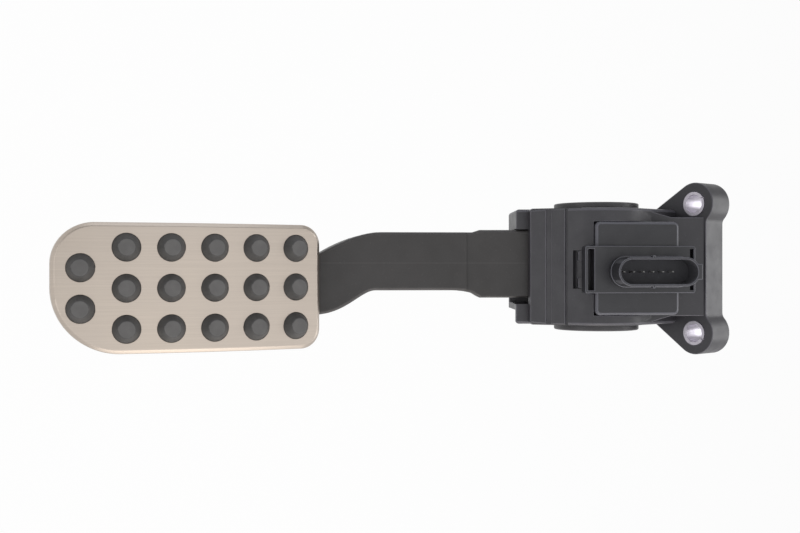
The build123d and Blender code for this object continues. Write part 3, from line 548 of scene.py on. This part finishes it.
def weigh_normals(skin):
    """Lets the large faces set the shading, so that flats stay flat beside their rounded edges."""
    normals = skin.modifiers.new("flat_faces", "WEIGHTED_NORMAL")
    normals.keep_sharp = True
    normals.weight = LARGE_FACES_LEAD
    normals.thresh = EQUAL_FACES


def mark_strips(skin):
    """Makes the shading part of the mesh, with a layer that tells the marked faces from the others."""
    graph = bpy.context.evaluated_depsgraph_get()
    formed = bpy.data.meshes.new_from_object(skin.evaluated_get(graph))
    layer = formed.attributes.new(EDGE_LAYER, "FLOAT", "FACE")
    layer.data.foreach_set("value", [float(face.material_index) for face in formed.polygons])
    formed.polygons.foreach_set("material_index", [PLAIN] * len(formed.polygons))
    skin.modifiers.clear()
    skin.data = formed


def softened(node, sharp, flat):
    """Copy of a node with its sharp corners and the two edges of each flat rounded by these widths."""
    skin = copy_of(node, "_skin")
    # The marked faces are told by a second slot until they have their layer
    skin.data.materials.append(MATERIALS[LOOKS[node]])
    start = bmesh.new()
    start.from_mesh(skin.data)
    bmesh.ops.remove_doubles(start, verts=start.verts, dist=WELD_DISTANCE)
    bmesh.ops.recalc_face_normals(start, faces=start.faces)
    merge_flats(start)
    for face in start.faces:
        face.smooth = True
        face.material_index = MARKED if node in STUDDED and is_stud_top(face) else PLAIN
    work = rounded(start, node, sharp, flat)
    for edge in work.edges:
        edge.smooth = shades_on(edge)
    work.to_mesh(skin.data)
    work.free()
    start.free()
    weigh_normals(skin)
    mark_strips(skin)
    dress(skin, LOOKS[node])
    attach(skin, BODIES[node])
    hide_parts(node)
    return skin


def dress_socket(skin):
    """Gives the faces inside the connector shroud a duller finish and a paler colour, painted light in the
    shaded recess.
    """
    mounts = {mount["name"]: mount for mount in frame["record"]["mounts"]}
    middle = Vector(mounts["connector_socket"]["pos_m"])
    out = Vector(mounts["connector_socket"]["axis"])
    along = out.cross(Vector((1.0, 0.0, 0.0)))

    def inside(place):
        return abs(place.dot(along)) < SOCKET_HALF_LENGTH and abs(place.x) < SOCKET_HALF_WIDTH

    skin.data.materials.append(MATERIALS["socket_plastic_lit"])
    socket_index = len(skin.data.materials) - 1
    for face in skin.data.polygons:
        within = all(inside(skin.data.vertices[index].co - middle) for index in face.vertices)
        if within and (face.center - middle).dot(out) < -SOCKET_RIM:
            face.material_index = socket_index


def twisting_spring(node):
    """Copy of a return spring, whose tangs sit in the cap and in the hub, baked in place in its rest shape.
    """
    spring = copy_of(node, "_coil")
    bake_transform(spring)
    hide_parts(node)


# Camera
def add_camera():
    right = Vector((0.0, math.sin(ARM_LEAN), math.cos(ARM_LEAN)))
    up = Vector((-1.0, 0.0, 0.0))
    back = right.cross(up)
    data = bpy.data.cameras.new("camera")
    data.sensor_fit = "HORIZONTAL"
    data.sensor_width = SENSOR_WIDTH_MM
    data.lens = SENSOR_WIDTH_MM * FOCAL_PIXELS / FRAME_PIXELS
    data.clip_start = NEAREST_SEEN
    camera = bpy.data.objects.new("camera", data)
    axes = Matrix((right, up, back)).transposed().to_4x4()
    camera.matrix_world = Matrix.Translation(CAMERA_PLACE) @ axes
    bpy.context.scene.collection.objects.link(camera)
    bpy.context.scene.camera = camera


# Stage: the pale floor glows to white for the eye and for reflections, and keeps part of the shadow
def larger(tree, first, second):
    node = tree.nodes.new("ShaderNodeMath")
    node.operation = "MAXIMUM"
    tree.links.new(first, node.inputs[0])
    tree.links.new(second, node.inputs[1])
    return node.outputs[0]


def seen_ray(tree):
    """1 for rays from the camera and for mirrored ones."""
    rays = tree.nodes.new("ShaderNodeLightPath")
    return larger(tree, rays.outputs["Is Camera Ray"], rays.outputs["Is Glossy Ray"])


def floor_material():
    material = bpy.data.materials.new("floor")
    material.use_nodes = True
    tree = material.node_tree
    tree.nodes.clear()
    output = tree.nodes.new("ShaderNodeOutputMaterial")
    mix = tree.nodes.new("ShaderNodeMixShader")
    matt = tree.nodes.new("ShaderNodeBsdfDiffuse")
    matt.inputs["Color"].default_value = FLOOR_COLOUR
    glow = tree.nodes.new("ShaderNodeEmission")
    share = tree.nodes.new("ShaderNodeMath")
    share.operation = "MULTIPLY"
    share.inputs[1].default_value = FLOOR_GLOW_SHARE
    tree.links.new(seen_ray(tree), share.inputs[0])
    tree.links.new(share.outputs[0], mix.inputs["Fac"])
    tree.links.new(matt.outputs[0], mix.inputs[1])
    tree.links.new(glow.outputs[0], mix.inputs[2])
    tree.links.new(mix.outputs[0], output.inputs["Surface"])
    return material


def add_floor():
    level = cad_box[0][2] - FLOOR_DROP
    half = FLOOR_SIZE / 2
    mesh = bpy.data.meshes.new("floor")
    corners = [(-half, -half, level), (half, -half, level), (half, half, level), (-half, half, level)]
    mesh.from_pydata(corners, [], [(0, 1, 2, 3)])
    mesh.materials.append(floor_material())
    floor = bpy.data.objects.new("floor", mesh)
    bpy.context.scene.collection.objects.link(floor)


def across(tree, sideways, span, left, right):
    """A strength that goes from its left value to its right one as sideways goes over the span."""
    node = tree.nodes.new("ShaderNodeMapRange")
    node.inputs["From Min"].default_value, node.inputs["From Max"].default_value = span
    node.inputs["To Min"].default_value = left
    node.inputs["To Max"].default_value = right
    tree.links.new(sideways, node.inputs["Value"])
    return node.outputs["Result"]


def add_world():
    world = bpy.data.worlds.new("studio")
    bpy.context.scene.world = world
    world.use_nodes = True
    tree = world.node_tree
    tree.nodes.clear()
    output = tree.nodes.new("ShaderNodeOutputWorld")
    directions = tree.nodes.new("ShaderNodeTexCoord")
    split = tree.nodes.new("ShaderNodeSeparateXYZ")
    rays = tree.nodes.new("ShaderNodeLightPath")
    mix = tree.nodes.new("ShaderNodeMixShader")
    sky = tree.nodes.new("ShaderNodeBackground")
    white = tree.nodes.new("ShaderNodeBackground")
    white.inputs["Color"].default_value = (*WHITE, 1.0)
    tree.links.new(directions.outputs["Generated"], split.inputs[0])
    sideways = split.outputs["X"]
    mirrored = across(tree, sideways, MIRROR_SPAN, MIRROR_LEFT, MIRROR_RIGHT)
    tree.links.new(larger(tree, mirrored, rays.outputs["Is Camera Ray"]), white.inputs["Strength"])
    tree.links.new(across(tree, sideways, SKY_SPAN, SKY_LEFT, SKY_RIGHT), sky.inputs["Strength"])
    tree.links.new(seen_ray(tree), mix.inputs["Fac"])
    tree.links.new(sky.outputs[0], mix.inputs[1])
    tree.links.new(white.outputs[0], mix.inputs[2])
    tree.links.new(mix.outputs[0], output.inputs["Surface"])


def add_lamp(name, place, size, radiance, colour):
    """Square soft box of a given brightness, turned to the object."""
    data = bpy.data.lights.new(name, "AREA")
    data.size = size
    data.energy = radiance * math.pi * size * size
    data.color = colour
    lamp = bpy.data.objects.new(name, data)
    lamp.location = place
    lamp.rotation_euler = (LAMP_AIM - Vector(place)).to_track_quat("-Z", "Y").to_euler()
    bpy.context.scene.collection.objects.link(lamp)


# The dressed part in its studio
for node, piece in frame["nodes"].items():
    dress(piece, SLOTS[node])
skins = {node: softened(node, sharp, flat) for node, (sharp, flat) in FORMED_EDGES.items()}
twisting_spring("right_return_spring")
twisting_spring("left_return_spring")
dress_socket(skins["sensor_cover"])

add_camera()
add_floor()
add_world()
for name, (place, size, radiance, colour) in LAMPS.items():
    add_lamp(name, place, size, radiance, colour)
bpy.context.scene.view_settings.view_transform = "Standard"
